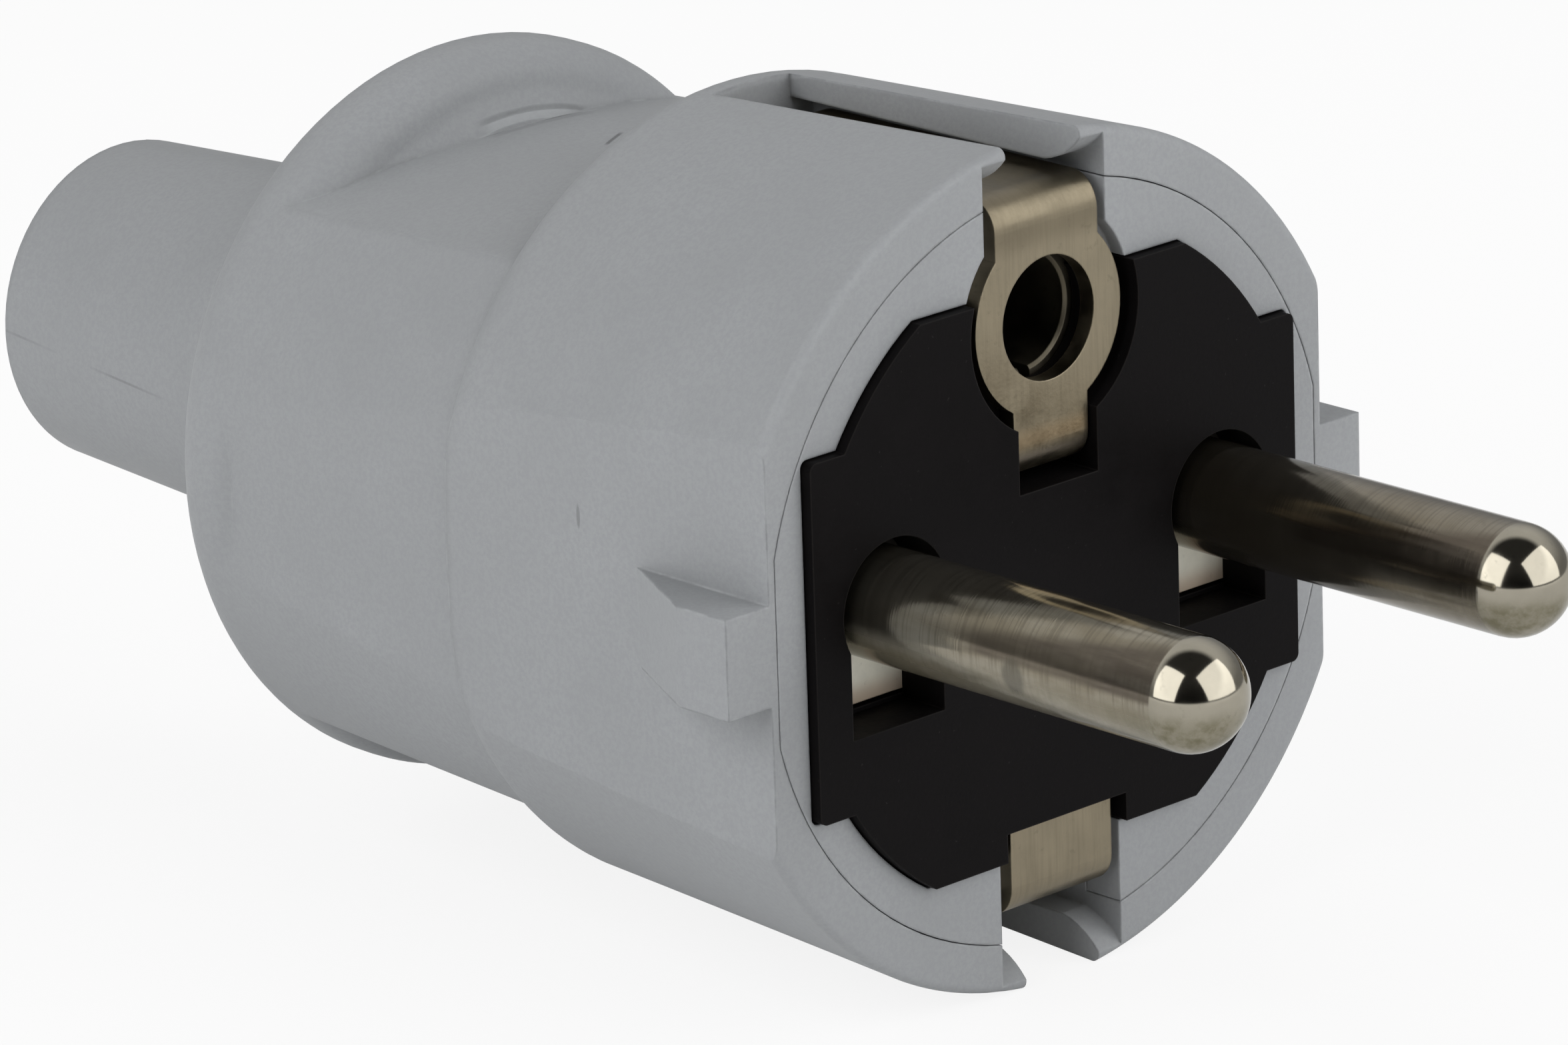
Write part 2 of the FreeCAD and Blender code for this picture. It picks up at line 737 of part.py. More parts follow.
# Earth strap and sleeve
def build_earth_strap():
    """One bent strip: tail, ring, top contact, bridge behind the insert, bottom contact and lower end."""
    strap = new_body("earth_strap")
    inner = s.strap_bend
    outer = s.strap_bend + s.strap_thickness
    face, back = s.strap_face, STRAP_BACK
    top, low = s.strap_height, s.tail_drop
    width = s.strap_ring_radius
    profile = [
        (s.tail_end, low),
        (face + outer, low, outer, "right"),
        (face, low + outer),
        (face, top - outer, outer, "right"),
        (face + outer, top),
        (BRIDGE_BACK - outer, top, outer, "right"),
        (BRIDGE_BACK, top - outer),
        (BRIDGE_BACK, outer - top, outer, "right"),
        (BRIDGE_BACK - outer, -top),
        (face + outer, -top, outer, "right"),
        (face, outer - top),
        (face, -s.lower_tip),
        (back, -s.lower_tip),
        (back, outer - top, inner, "left"),
        (back + inner, -STRAP_FLOOR),
        (BRIDGE_FRONT - inner, -STRAP_FLOOR, inner, "left"),
        (BRIDGE_FRONT, outer - top),
        (BRIDGE_FRONT, top - outer, inner, "left"),
        (BRIDGE_FRONT - inner, STRAP_FLOOR),
        (back + inner, STRAP_FLOOR, inner, "left"),
        (back, top - outer),
        (back, low + outer, inner, "left"),
        (back + inner, low + s.strap_thickness),
        (s.tail_end, low + s.strap_thickness),
    ]
    pad(strap, "strip", "YZ_Plane", -width, width, [profile])
    trim_strap(strap)


def trim_strap(strap):
    out = s.barrel_front_radius
    rim = s.strap_ring_radius
    upper_z = s.earth_rise + leg(rim, s.strap_half_width)
    lower_z = s.earth_rise - leg(rim, s.tail_half_width)

    def front_side(sign):
        return [
            (sign * out, out),
            (sign * s.strap_half_width, out),
            (sign * s.strap_half_width, upper_z, rim, side_of(sign, "right")),
            (sign * rim, s.earth_rise, rim, side_of(sign, "right")),
            (sign * s.tail_half_width, lower_z),
            (sign * s.tail_half_width, ZERO),
            (sign * s.strap_half_width, ZERO),
            (sign * s.strap_half_width, -out),
            (sign * out, -out),
        ]

    middle = (s.tail_end + BRIDGE_FRONT) / 2
    pocket(strap, "front_trim", "XZ_Plane", ZERO, middle, both_sides(front_side))
    pocket(strap, "strip_trim", "XZ_Plane", middle, BRIDGE_BACK + 1, both_sides(
        lambda sign: rectangle(sign * s.strap_half_width, sign * out, -out, out)))
    pocket(strap, "earth_hole", "XZ_Plane", ZERO, middle,
           circles=[(ZERO, s.earth_rise, s.strap_hole_radius)])
    pocket(strap, "rivet_holes", "XZ_Plane", middle, BRIDGE_BACK + 1, circles=[
        (ZERO, s.earth_rise, s.rivet_radius + s.fit_gap),
        (ZERO, -s.earth_wire_rise, s.rivet_radius + s.fit_gap),
    ])


def build_earth_socket():
    """Slit sleeve that grips the earth pin, riveted to the strap's bridge."""
    socket = new_body("earth_socket", z=s.earth_rise)
    rear = BRIDGE_FRONT
    bottom = s.socket_front + s.socket_depth
    chamfer = s.socket_chamfer
    turn(socket, "sleeve", "Revolution", [
        (s.socket_front, s.socket_bore_radius + chamfer),
        (s.socket_front, s.socket_radius),
        (rear, s.socket_radius),
        (rear, s.rivet_radius),
        (BRIDGE_BACK, s.rivet_radius),
        (BRIDGE_BACK, s.rivet_head_radius),
        (BRIDGE_BACK + s.rivet_head_height, s.rivet_head_radius - chamfer * 2),
        (BRIDGE_BACK + s.rivet_head_height, ZERO),
        (bottom, ZERO),
        (bottom, s.socket_bore_radius),
        (s.socket_front + chamfer, s.socket_bore_radius),
    ])
    half = s.socket_slit / 2
    pocket(socket, "slit", "XZ_Plane", s.socket_front - 1, s.socket_front + s.socket_slit_length,
           [rectangle(-half, half, -s.socket_radius - 1, s.socket_radius + 1)])


# Pins
def build_pin(name, sign):
    """Turned pin with a domed tip and a spigot for its clamp block."""
    pin = new_body(name, x=sign * HALF_PITCH)
    turn(pin, "turning", "Revolution", [
        (-s.pin_reach, ZERO, PIN_RADIUS, "right"),
        (PIN_RADIUS - s.pin_reach, PIN_RADIUS),
        (s.seat_depth, PIN_RADIUS),
        (s.seat_depth, s.spigot_radius),
        (s.seat_depth + s.spigot_length, s.spigot_radius),
        (s.seat_depth + s.spigot_length, ZERO),
    ])


def build_clamp_block(name, x, front, half_width, top, bottom, length, wire_z, spigot):
    """Brass block with a wire hole from behind and a screw hole from below. Returns the body."""
    block = new_body(name, x=x)
    rear = front + length
    pad(block, "block", "XZ_Plane", front, rear, [rectangle(-half_width, half_width, -bottom, top)])
    pocket(block, "wire_hole", "XZ_Plane", rear - s.wire_hole_depth, rear + 1,
           circles=[(ZERO, wire_z, s.wire_hole_radius)])
    pocket(block, "screw_hole", "XY_Plane", -bottom - 1, wire_z,
           circles=[(ZERO, rear - s.clamp_screw_seat, s.screw_shank_radius + s.fit_gap)])
    if spigot:
        pocket(block, "spigot_hole", "XZ_Plane", front - 1, front + s.spigot_length + s.fit_gap * 2,
               circles=[(ZERO, ZERO, s.spigot_radius + s.fit_gap)])
    return block


def build_plate(name, x, y, wire_z):
    """Pressure plate between the screw and the wire, held in the wire hole."""
    plate = new_body(name, x=x, y=y, z=wire_z)
    half, reach = s.plate_half_width, s.plate_length / 2
    pad(plate, "plate", "XY_Plane", -PLATE_LOW, s.plate_thickness - PLATE_LOW,
        [rectangle(-half, half, -reach, reach)])


def build_screw(name, x, y, head_z, up, length):
    """Slotted screw along Z, with the underside of its head at head_z and its shank pointing up or down."""
    screw = new_body(name, x=x, y=y, z=head_z)
    way = 1 if up else -1
    tip = s.screw_shank_radius / 2
    head = -way * s.screw_head_height
    turn(screw, "turning", "Revolution", [
        (ZERO, head),
        (s.screw_head_radius - tip / 2, head),
        (s.screw_head_radius, head + way * tip / 2),
        (s.screw_head_radius, ZERO),
        (s.screw_shank_radius, ZERO),
        (s.screw_shank_radius, way * (length - tip)),
        (s.screw_shank_radius - tip, way * length),
        (ZERO, way * length),
    ], axis="V_Axis", plane="XZ_Plane")
    half = s.screw_slot_width / 2
    reach = s.screw_head_radius + 1
    slot_end = head + way * s.screw_slot_depth
    low, high = (head - 1, slot_end) if up else (slot_end, head + 1)
    pocket(screw, "slot", "XY_Plane", low, high, [rectangle(-reach, reach, -half, half)])


def build_pin_terminals():
    front = s.seat_depth
    for side, sign in (("left", -1), ("right", 1)):
        x = sign * HALF_PITCH
        build_pin(f"pin_{side}", sign)
        build_clamp_block(f"pin_terminal_{side}", x, front, s.block_half_width, s.block_top, s.block_bottom,
                          s.block_length, ZERO, True)
        place = front + s.block_length - s.clamp_screw_seat
        build_plate(f"pin_plate_{side}", x, place, ZERO)
        build_screw(f"pin_screw_{side}", x, place, -(PLATE_LOW + s.terminal_screw_length), True,
                    s.terminal_screw_length)


def build_earth_terminal():
    wire_z = -s.earth_wire_rise
    front = BRIDGE_BACK
    block = build_clamp_block("earth_terminal", ZERO, front, s.earth_block_half_width, s.earth_block_top,
                              s.earth_block_bottom, s.earth_block_length, wire_z, False)
    pad(block, "rivet", "XZ_Plane", BRIDGE_FRONT, front, circles=[(ZERO, wire_z, s.rivet_radius)])
    pad(block, "rivet_head", "XZ_Plane", BRIDGE_FRONT - s.rivet_head_height, BRIDGE_FRONT,
        circles=[(ZERO, wire_z, s.rivet_head_radius)])
    place = front + s.earth_block_length - s.clamp_screw_seat
    build_plate("earth_plate", ZERO, place, wire_z)
    build_screw("earth_screw", ZERO, place, -EARTH_SCREW_SEAT, True, s.terminal_screw_length)


# Inner frame and cord grip
def build_carrier():
    """Plate behind the insert, a floor and the lower half of the cord grip, with a boss for the hood screw."""
    carrier = new_body("cable_carrier", z=-s.body_drop)
    plate_rear = CARRIER_FRONT + s.carrier_plate
    pad(carrier, "plate", "XZ_Plane", CARRIER_FRONT, plate_rear, circles=[(ZERO, ZERO, s.carrier_radius)])
    half, depth = s.saddle_half_width, s.saddle_depth
    pad(carrier, "floor", "XZ_Plane", plate_rear, s.saddle_front,
        [rectangle(-half, half, -depth, s.floor_thickness - depth)])
    pad(carrier, "saddle", "XZ_Plane", s.saddle_front, s.saddle_rear, [rectangle(-half, half, -depth, ZERO)])
    pad(carrier, "boss", "XY_Plane", -s.boss_foot, -depth, circles=[
        (ZERO, s.hood_screw_place, s.boss_radius)])
    doc.recompute()
    cut_carrier(carrier, plate_rear)


def cut_carrier(carrier, plate_rear):
    pocket(carrier, "wire_ports", "XZ_Plane", CARRIER_FRONT - 1, plate_rear, both_sides(lambda sign: rectangle(
        sign * s.wire_port_inner, sign * s.wire_port_outer,
        PIN_AXIS - s.wire_port_half_height, PIN_AXIS + s.wire_port_half_height)))
    play = s.chamber_play
    half = s.earth_block_half_width + play
    pocket(carrier, "earth_port", "XZ_Plane", CARRIER_FRONT - 1, plate_rear, [rectangle(
        -half, half, PIN_AXIS - s.earth_block_bottom - play, PIN_AXIS + s.earth_block_top + play)])
    pocket(carrier, "rivet_port", "XZ_Plane", CARRIER_FRONT - 1, plate_rear,
           circles=[(ZERO, EARTH_AXIS, s.rivet_head_radius + play)])
    head = s.screw_head_radius + play * 2
    port_rear = BRIDGE_BACK + s.earth_block_length - s.clamp_screw_seat + head
    port_low = PIN_AXIS - (EARTH_SCREW_SEAT + s.screw_head_height) - play * 2
    pocket(carrier, "earth_screw_port", "XZ_Plane", CARRIER_FRONT - 1, port_rear,
           [rectangle(-head, head, port_low, -s.saddle_depth + s.floor_thickness + 1)])
    pocket(carrier, "trough", "XZ_Plane", s.saddle_front - 1, s.saddle_rear + 1,
           circles=[(ZERO, ZERO, s.trough_radius)])
    place = (s.clamp_front + s.clamp_rear) / 2
    pocket(carrier, "clamp_holes", "XY_Plane", s.clamp_height - s.clamp_screw_length - 1, 1, circles=[
        (s.clamp_screw_spread, place, s.screw_shank_radius + s.fit_gap),
        (-s.clamp_screw_spread, place, s.screw_shank_radius + s.fit_gap),
    ])
    reach = s.hood_screw_seat - s.hood_screw_length
    pocket(carrier, "boss_hole", "XY_Plane", -s.boss_foot - 1, -reach + s.fit_gap * 2,
           circles=[(ZERO, s.hood_screw_place, s.screw_shank_radius + s.fit_gap)])


def build_cord_clamp():
    """Bridge with a half-round underside that presses the cable into the saddle."""
    clamp = new_body("cord_clamp", z=-s.body_drop)
    half, high, bow = s.saddle_half_width, s.clamp_height, s.clamp_rib
    shoulder = s.trough_radius + bow
    pad(clamp, "bridge", "XZ_Plane", s.clamp_front, s.clamp_rear, [rectangle(-half, half, ZERO, high)])
    pocket(clamp, "trough", "XZ_Plane", s.clamp_front - 1, s.clamp_rear + 1,
           circles=[(ZERO, ZERO, s.trough_radius)])
    middle = (s.clamp_front + s.clamp_rear) / 2
    pocket(clamp, "screw_holes", "XY_Plane", -bow, high + 1, circles=[
        (s.clamp_screw_spread, middle, s.screw_shank_radius + s.fit_gap * 3),
        (-s.clamp_screw_spread, middle, s.screw_shank_radius + s.fit_gap * 3),
    ])
    pad(clamp, "stiffener", "XZ_Plane", middle - bow * 2, middle + bow * 2, [rectangle(
        -shoulder + 1, shoulder - 1, high, high + bow * 2)])
    for side, sign in (("left", -1), ("right", 1)):
        build_screw(f"clamp_screw_{side}", sign * s.clamp_screw_spread, middle, high - s.body_drop, False,
                    s.clamp_screw_length)


def build_hood_screw():
    build_screw("hood_screw", ZERO, s.hood_screw_place, -s.hood_screw_seat - s.body_drop, True,
                s.hood_screw_length)


def write_parts():
    """Check every object, then write each piece to its own file."""
    doc.recompute()
    for item in doc.Objects:
        if "Invalid" in item.State or "Error" in item.State:
            raise RuntimeError(f"{item.Name} failed: {item.State}")
    for name, body in NODES.items():
        shape = body.Shape
        if shape.isNull() or not shape.isValid() or len(shape.Solids) != 1:
            raise RuntimeError(f"{name} is not one valid solid")
    for name, body in NODES.items():
        body.Shape.exportStep(f"parts/{name}.step")
        print(f"{name}: {body.Shape.Volume:.1f} mm3")


build_hood()
build_front_ring()
build_contact_insert()
build_terminal_block()
build_earth_strap()
build_earth_socket()
build_pin_terminals()
build_earth_terminal()
build_carrier()
build_cord_clamp()
build_hood_screw()
write_parts()
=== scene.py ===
import json
import math

import bpy
from mathutils import Matrix, Vector


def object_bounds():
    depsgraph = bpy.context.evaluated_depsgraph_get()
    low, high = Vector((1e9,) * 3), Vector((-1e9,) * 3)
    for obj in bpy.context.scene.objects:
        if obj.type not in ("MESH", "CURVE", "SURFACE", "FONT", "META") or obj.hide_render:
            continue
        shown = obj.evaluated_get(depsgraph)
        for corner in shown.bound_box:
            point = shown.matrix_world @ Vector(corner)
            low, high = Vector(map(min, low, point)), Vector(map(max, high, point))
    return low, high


MM = 0.001

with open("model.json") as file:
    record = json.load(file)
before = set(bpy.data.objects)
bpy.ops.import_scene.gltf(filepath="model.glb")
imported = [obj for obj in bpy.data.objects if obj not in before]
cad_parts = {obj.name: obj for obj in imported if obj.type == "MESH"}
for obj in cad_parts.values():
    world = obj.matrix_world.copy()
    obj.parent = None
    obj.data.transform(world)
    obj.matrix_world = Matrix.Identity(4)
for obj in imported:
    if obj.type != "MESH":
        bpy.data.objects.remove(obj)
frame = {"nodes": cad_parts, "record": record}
cad_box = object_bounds()
nodes = frame["nodes"]

# Camera of the photograph, in the part's frame. Angles are in degrees.
CAMERA_AZIMUTH = -43.07
CAMERA_ELEVATION = 17.82
CAMERA_ROLL = -1.92
CAMERA_DISTANCE = 410.7 * MM
CAMERA_AIM = Vector((0, 20.5, 0)) * MM
CAMERA_AIM_RIGHT = 2.72 * MM
CAMERA_AIM_UP = -2.91 * MM
FOCAL_PIXELS = 14421.6
IMAGE_WIDTH_PIXELS = 2352
SENSOR_WIDTH = 36.0

# Two softboxes that stand on the floor: degrees to the right of the camera, width in metres, watts
SOFTBOXES = {"softbox_right": (62, 1.0, 5.2), "softbox_left": (-54, 0.68, 4.2)}
SOFTBOX_HEIGHT = 0.8
SOFTBOX_DISTANCE = 0.75
SOFTBOX_ELEVATION = 30
LIT_POINT = Vector((0, 5, 0)) * MM

# Strength of the room near the horizon and overhead, in the dark gap over the camera, and straight in view
ROOM_LOW, ROOM_HIGH = 0.28, 0.85
ROOM_GAP = 0.05
ROOM_GAP_ELEVATION = 50
ROOM_SEEN = 0.98

# Share of plain white in the floor, as seen straight and as seen in a reflection
FLOOR_SIZE = 12
FLOOR_WHITE_SEEN = 0.86
FLOOR_WHITE_MIRRORED = 0.2

# Pins of the part: distance of each axis from the middle, and where the round tip begins
PIN_X = 9.5 * MM
TIP_Y = -16.6 * MM

# Finish of the hood
GREY = (0.307, 0.318, 0.327)
GREY_MOTTLE = (0.272, 0.278, 0.292)
FRONT_EDGE_RADIUS = 0.18 * MM
REAR_EDGE_RADIUS = 0.9 * MM
SLEEVE_LINE_HEIGHT = -4.26 * MM
SLEEVE_LINE_SLOPE = 0.0645
# The neck's ridge, with a painted highlight along its line and a painted shadow just in front of it at
# RIDGE_SHADE_Y.
RIDGE_Y = 32.8 * MM
RIDGE_SHADE_Y = RIDGE_Y - 0.55 * MM
RIDGE_HALF_WIDTH = 0.22 * MM
CUT_Y = 26.75 * MM
CUT_SLOPE = 0.59
NICK_CENTRE = (-16.1 * MM, 11.75 * MM, 3 * MM)
NICK_SIZE = (1 * MM, 0.12 * MM, 0.6 * MM)

# Finish of the insert
BLACK = (0.0044, 0.0038, 0.004)
BLACK_DUST = (0.03, 0.028, 0.027)
# Lighter colour on the insert's edges is a painted highlight.
BLACK_EDGE_HIGHLIGHT = (0.045, 0.04, 0.037)

# Finish of the metals
PIN_NICKEL = (0.345, 0.32, 0.26)
PIN_TARNISH = (0.2, 0.17, 0.115)
# Painted dark reflection along the upper left side of each shank.
PIN_PAINTED_REFLECTION = (0.105, 0.088, 0.07)
# Mottled underside of the pins: partly tarnish, partly painted shade of the floor's reflection.
PIN_UNDERSIDE_TARNISH_AND_SHADE = (0.175, 0.16, 0.105)
# Painted shade that darkens the far pin.
PIN_FAR_PAINTED_SHADE = (0.13, 0.105, 0.08)
PIN_RINGS = (0.11, 0.095, 0.07)
PIN_STAIN = (0.085, 0.08, 0.065)
STAIN_CENTRE = (-11.9 * MM, -9.02 * MM, -0.4 * MM)
STAIN_SIZE = (1.2 * MM, 0.7 * MM, 0.9 * MM)
# Earth sleeve's plating, painted dark as shade inside its hole.
SLEEVE_NICKEL_SHADED = (0.13, 0.115, 0.085)
TERMINAL_NICKEL = (0.8, 0.775, 0.66)
TERMINAL_LOW_EDGE = (0.50, 0.36, 0.25)
# Painted shadow of the pin on the top of the terminal blocks.
TERMINAL_TOP_PAINTED_SHADOW = (0.03, 0.027, 0.022)
STRAP_NICKEL = (0.268, 0.231, 0.163)
STRAP_BRUSHED = (0.14, 0.118, 0.08)
# Painted dark reflection and painted warm highlight on the strap's tail.
STRAP_PAINTED_REFLECTION = (0.09, 0.075, 0.06)
STRAP_PAINTED_HIGHLIGHT = (0.42, 0.31, 0.185)
# Painted shade on the strap towards its top, near the groove.
STRAP_TOP_PAINTED_SHADE = (0.13, 0.11, 0.075)
BRASS = (0.55, 0.43, 0.22)
STEEL = (0.42, 0.42, 0.42)


def camera_axes(azimuth, elevation, roll):
    """Right, up and back directions of a camera that looks at the part."""
    a, e, r = math.radians(azimuth), math.radians(elevation), math.radians(roll)
    back = Vector((math.sin(a) * math.cos(e), -math.cos(a) * math.cos(e), math.sin(e)))
    level_right = Vector((math.cos(a), math.sin(a), 0))
    level_up = back.cross(level_right)
    right = level_right * math.cos(r) + level_up * math.sin(r)
    up = level_up * math.cos(r) - level_right * math.sin(r)
    return right, up, back


def add_camera():
    right, up, back = camera_axes(CAMERA_AZIMUTH, CAMERA_ELEVATION, CAMERA_ROLL)
    place = CAMERA_AIM + right * CAMERA_AIM_RIGHT + up * CAMERA_AIM_UP + back * CAMERA_DISTANCE
    data = bpy.data.cameras.new("camera")
    data.sensor_width = SENSOR_WIDTH
    data.lens = FOCAL_PIXELS / IMAGE_WIDTH_PIXELS * SENSOR_WIDTH
    data.clip_start = 0.02
    data.clip_end = 20
    camera = bpy.data.objects.new("camera", data)
    camera.matrix_world = Matrix.Translation(place) @ Matrix((right, up, back)).transposed().to_4x4()
    bpy.context.collection.objects.link(camera)
    bpy.context.scene.camera = camera


# Node helpers. Places, lengths and noise scales in materials are in metres and per metre.

def new_material(name):
    """Material with a principled shader. Returns it with its node tree and shader."""
    material = bpy.data.materials.new(name)
    material.use_nodes = True
    tree = material.node_tree
    return material, tree, tree.nodes["Principled BSDF"]


def node(tree, kind, **values):
    """New node with its inputs or settings given by name."""
    made = tree.nodes.new(kind)
    for key, value in values.items():
        if key in made.inputs:
            made.inputs[key].default_value = value
        else:
            setattr(made, key, value)
    return made


def link(tree, source, target):
    tree.links.new(source, target)


def linked(shader, name):
    """Socket that feeds an input of the shader."""
    return shader.inputs[name].links[0].from_socket


def object_coordinates(tree):
    return node(tree, "ShaderNodeTexCoord").outputs["Object"]


def split(tree, vector):
    parts = node(tree, "ShaderNodeSeparateXYZ")
    link(tree, vector, parts.inputs[0])
    return parts.outputs


def stretched(tree, vector, scale):
    """Coordinates scaled by a different factor along each axis."""
    made = node(tree, "ShaderNodeMapping", Scale=scale)
    link(tree, vector, made.inputs["Vector"])
    return made.outputs["Vector"]


def noise(tree, vector, scale, detail, roughness):
    made = node(tree, "ShaderNodeTexNoise", Scale=scale, Detail=detail, Roughness=roughness)
    link(tree, vector, made.inputs["Vector"])
    return made.outputs["Fac"]


def stretched_noise(tree, vector, scale, detail, roughness):
    return noise(tree, stretched(tree, vector, scale), 1.0, detail, roughness)


def math_node(tree, operation, *values):
    made = node(tree, "ShaderNodeMath", operation=operation)
    for place, value in enumerate(values):
        if isinstance(value, (int, float)):
            made.inputs[place].default_value = value
        else:
            link(tree, value, made.inputs[place])
    return made.outputs[0]


def times(tree, first, *others):
    for other in others:
        first = math_node(tree, "MULTIPLY", first, other)
    return first


def step(tree, value, low, high, start=0.0, end=1.0):
    """Smooth ramp of a value from start at low to end at high."""
    made = node(tree, "ShaderNodeMapRange", interpolation_type="SMOOTHSTEP")
    for name, number in (("From Min", low), ("From Max", high), ("To Min", start), ("To Max", end)):
        made.inputs[name].default_value = number
    link(tree, value, made.inputs["Value"])
    return made.outputs["Result"]


def fade(tree, value, low, high):
    """One below low, falling smoothly to zero at high."""
    return step(tree, value, low, high, 1.0, 0.0)


def between(tree, value, rise, fall):
    """One between two soft limits: it rises over the first pair and falls over the second."""
    return times(tree, step(tree, value, *rise), fade(tree, value, *fall))


def ramp(tree, value, stops):
    """Colour ramp from (position, colour) pairs."""
    made = node(tree, "ShaderNodeValToRGB")
    for element, (position, colour) in zip(made.color_ramp.elements, stops):
        element.position = position
        element.color = (*colour, 1)
    link(tree, value, made.inputs["Fac"])
    return made.outputs["Color"]


def tint(colour, factor):
    return tuple(part * factor for part in colour)


def mixed(tree, factor, first, second):
    """Colour between two colours or colour sockets."""
    made = node(tree, "ShaderNodeMix", data_type="RGBA")
    link(tree, factor, made.inputs["Factor"])
    for name, value in (("A", first), ("B", second)):
        socket = next(item for item in made.inputs if item.name == name and item.type == "RGBA")
        if isinstance(value, tuple):
            socket.default_value = (*value, 1)
        else:
            link(tree, value, socket)
    return next(item for item in made.outputs if item.type == "RGBA")


def bump(tree, height, distance, strength, normal):
    made = node(tree, "ShaderNodeBump", Strength=strength, Distance=distance)
    link(tree, height, made.inputs["Height"])
    link(tree, normal, made.inputs["Normal"])
    return made.outputs["Normal"]


def soft_edge(tree, radius):
    """Normal that rounds sharp edges by a small radius."""
    made = node(tree, "ShaderNodeBevel", Radius=radius)
    made.samples = 6
    return made.outputs["Normal"]


def edge_mask(tree, radius):
    """One on convex and concave edges within a radius, and zero on plain faces."""
    plain = node(tree, "ShaderNodeNewGeometry").outputs["Normal"]
    product = node(tree, "ShaderNodeVectorMath", operation="DOT_PRODUCT")
    link(tree, soft_edge(tree, radius), product.inputs[0])
    link(tree, plain, product.inputs[1])
    return step(tree, product.outputs["Value"], 1.0, 0.85)


def streaks(tree, vector, scale, width):
    """Sparse thin lines: one where a stretched noise is near its middle."""
    value = stretched_noise(tree, vector, scale, 2, 0.5)
    away = math_node(tree, "ABSOLUTE", math_node(tree, "SUBTRACT", value, 0.5))
    return fade(tree, away, 0.0, width)


def blot(tree, vector, centre, size):
    """One inside a small ellipsoid, fading to zero at its edge."""
    moved = node(tree, "ShaderNodeMapping", Scale=tuple(1 / part for part in size),
                 Location=tuple(-place / part for place, part in zip(centre, size)))
    link(tree, vector, moved.inputs["Vector"])
    span = node(tree, "ShaderNodeVectorMath", operation="LENGTH")
    link(tree, moved.outputs["Vector"], span.inputs[0])
    return fade(tree, span.outputs["Value"], 0.6, 1.1)


def stroke(tree, along, across, offset, slope, half_width):
    """One on the line across = offset + slope * along, fading to zero beside it."""
    level = math_node(tree, "MULTIPLY_ADD", along, slope, offset)
    away = math_node(tree, "ABSOLUTE", math_node(tree, "SUBTRACT", across, level))
    return fade(tree, away, half_width * 0.5, half_width * 1.5)


def sleeve_line(tree, axes):
    """Thin moulding line along each side of the cable sleeve."""
    line = stroke(tree, axes["Y"], axes["Z"], SLEEVE_LINE_HEIGHT, SLEEVE_LINE_SLOPE, 0.06 * MM)
    return times(tree, line, step(tree, axes["Y"], 47 * MM, 50 * MM))


def neck_ridge(tree, axes, y):
    """Short line across the top of the neck, where its crown meets the collar."""
    line = stroke(tree, axes["X"], axes["Y"], y, 0.0, RIDGE_HALF_WIDTH)
    ends = between(tree, axes["X"], (-2.4 * MM, -1.2 * MM), (3 * MM, 4.8 * MM))
    return times(tree, line, ends, step(tree, axes["Z"], 11.2 * MM, 11.8 * MM))


def neck_cut(tree, axes):
    """Short dark cut on top of the neck, close behind the barrel."""
    line = stroke(tree, axes["X"], axes["Y"], CUT_Y, CUT_SLOPE, 0.11 * MM)
    ends = between(tree, axes["X"], (-0.7 * MM, -0.2 * MM), (1.1 * MM, 1.7 * MM))
    return times(tree, line, ends, step(tree, axes["Z"], 11.8 * MM, 12.2 * MM))


def grey_colour(tree, place, axes, cloud):
    """Grey with clouds, specks, worn edges that also carry a painted highlight, the marks of the moulding, and
    a painted highlight and painted shadow along the neck's ridge.
    """
    colour = ramp(tree, cloud, [(0.3, tint(GREY, 0.96)), (0.7, tint(GREY, 1.04))])
    speck = step(tree, noise(tree, place, 2600, 2, 0.5), 0.66, 0.78, 0.0, 0.35)
    colour = mixed(tree, speck, colour, tint(GREY, 0.8))
    mottle = step(tree, noise(tree, place, 4300, 2, 0.7), 0.35, 0.65, 0.0, 0.5)
    colour = mixed(tree, mottle, colour, GREY_MOTTLE)
    # Lighter edges: partly wear, partly a painted highlight where the rounded edges catch the light.
    worn_and_highlit_edge = times(tree, edge_mask(tree, 0.2 * MM), step(tree, noise(tree, place, 900, 3, 0.6), 0.4, 0.65), 0.7)
    colour = mixed(tree, worn_and_highlit_edge, colour, tint(GREY, 1.45))
    seam = times(tree, sleeve_line(tree, axes), step(tree, noise(tree, place, 300, 2, 0.5), 0.35, 0.6), 0.45)
    colour = mixed(tree, seam, colour, tint(GREY, 0.45))
    nick = times(tree, blot(tree, place, NICK_CENTRE, NICK_SIZE), 0.5)
    colour = mixed(tree, nick, colour, tint(GREY, 0.4))
    colour = mixed(tree, times(tree, neck_cut(tree, axes), 0.8), colour, tint(GREY, 0.3))
    # Painted highlight along the neck's ridge, then a painted shadow just in front of it.
    colour = mixed(tree, times(tree, neck_ridge(tree, axes, RIDGE_Y), 0.35), colour, tint(GREY, 1.4))
    return mixed(tree, times(tree, neck_ridge(tree, axes, RIDGE_SHADE_Y), 0.35), colour, tint(GREY, 0.55))


